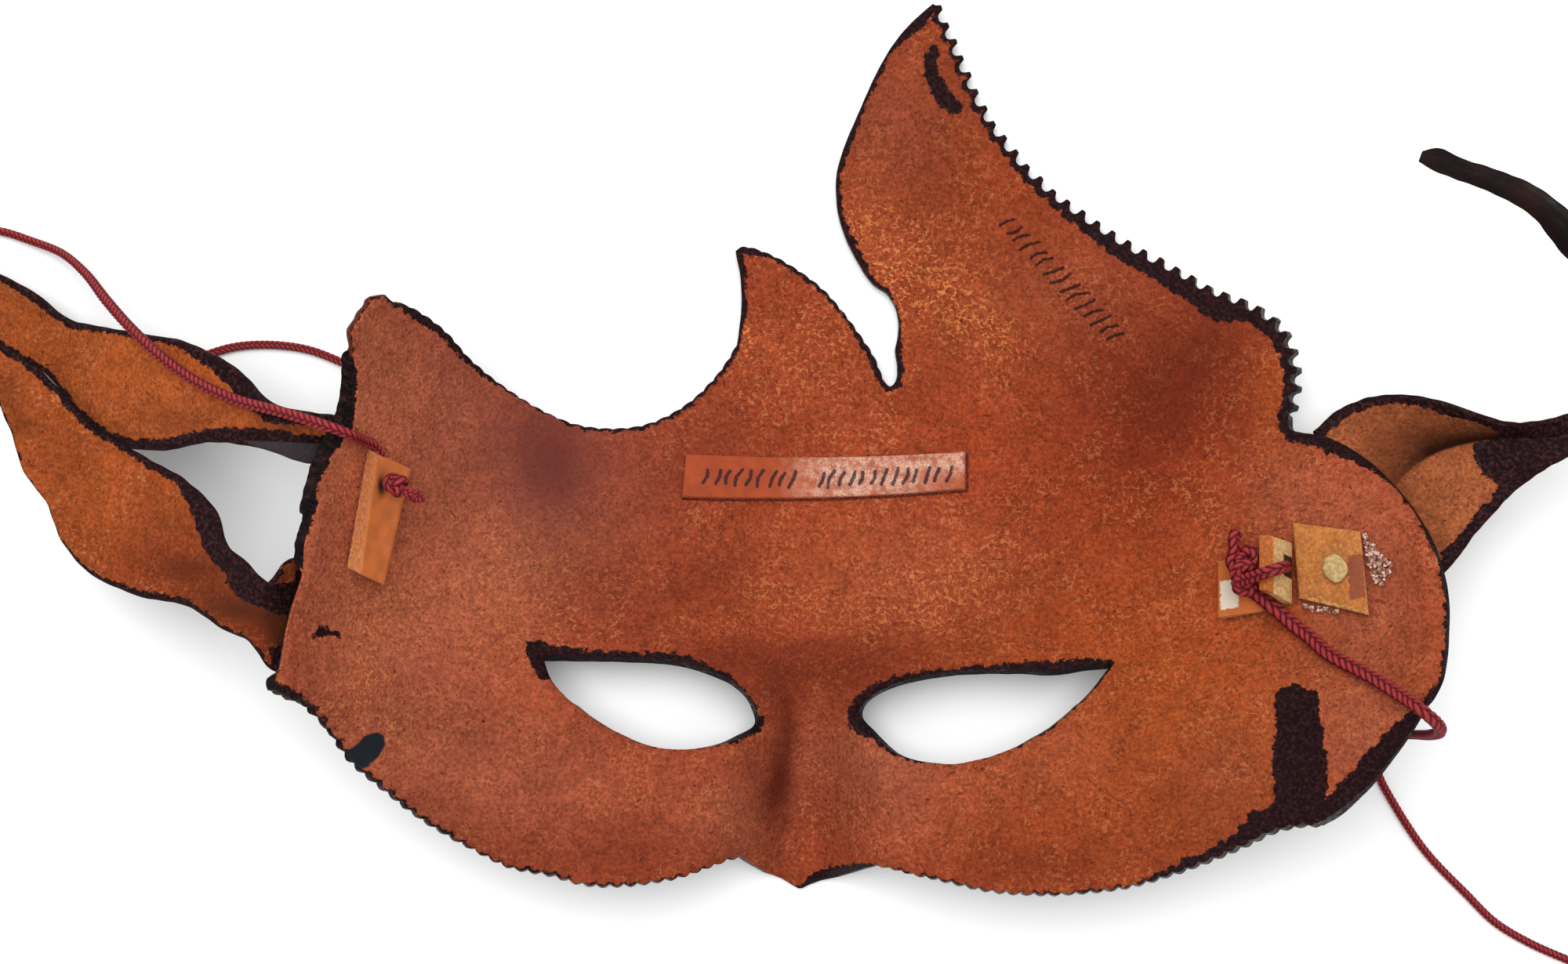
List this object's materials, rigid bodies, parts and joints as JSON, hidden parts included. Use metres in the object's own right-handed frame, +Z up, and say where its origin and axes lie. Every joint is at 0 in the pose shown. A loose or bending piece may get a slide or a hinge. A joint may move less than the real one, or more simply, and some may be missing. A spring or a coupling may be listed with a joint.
{
  "type": "leather mask",
  "caption": "Moulded leather half mask with a flame crest, leaf ornaments at both sides and braided ties, lying face down with its suede inner side up.",
  "frame": {"origin": "middle of the mask's footprint on the table, without its ties", "axes": "+X along the mask's width to the wearer's right side, +Y towards the tip of the crest, +Z up, out of the suede inner side"},
  "size_m": [0.3688, 0.1992, 0.0552],
  "materials": {
    "mask_leather": "rust-brown suede on the inner side, smooth dark brown outside, dark dyed cut edges",
    "leaf_leather": "orange-brown suede with dark dyed margins",
    "label_leather": "smooth, with a dull sheen",
    "tab_leather": "smooth grain with pale cut edges",
    "patch_leather": "raw suede",
    "peg": "dull, like dried glue",
    "cord": "dark red braid"
  },
  "bodies": {
    "root": {"mask_shell": "mask_leather", "upper_left_leaf": "leaf_leather", "lower_left_leaf": "leaf_leather", "right_leaf": "leaf_leather", "label_strip": "label_leather", "left_tab": "tab_leather", "right_patch": "patch_leather", "right_tab": "tab_leather", "right_peg": "peg", "left_cord": "cord", "left_coil": "cord", "left_knot": "cord", "left_end_knot": "cord", "right_cord": "cord", "right_coil": "cord", "right_knot": "cord", "right_end_knot": "cord"}
  },
  "joints": []
}
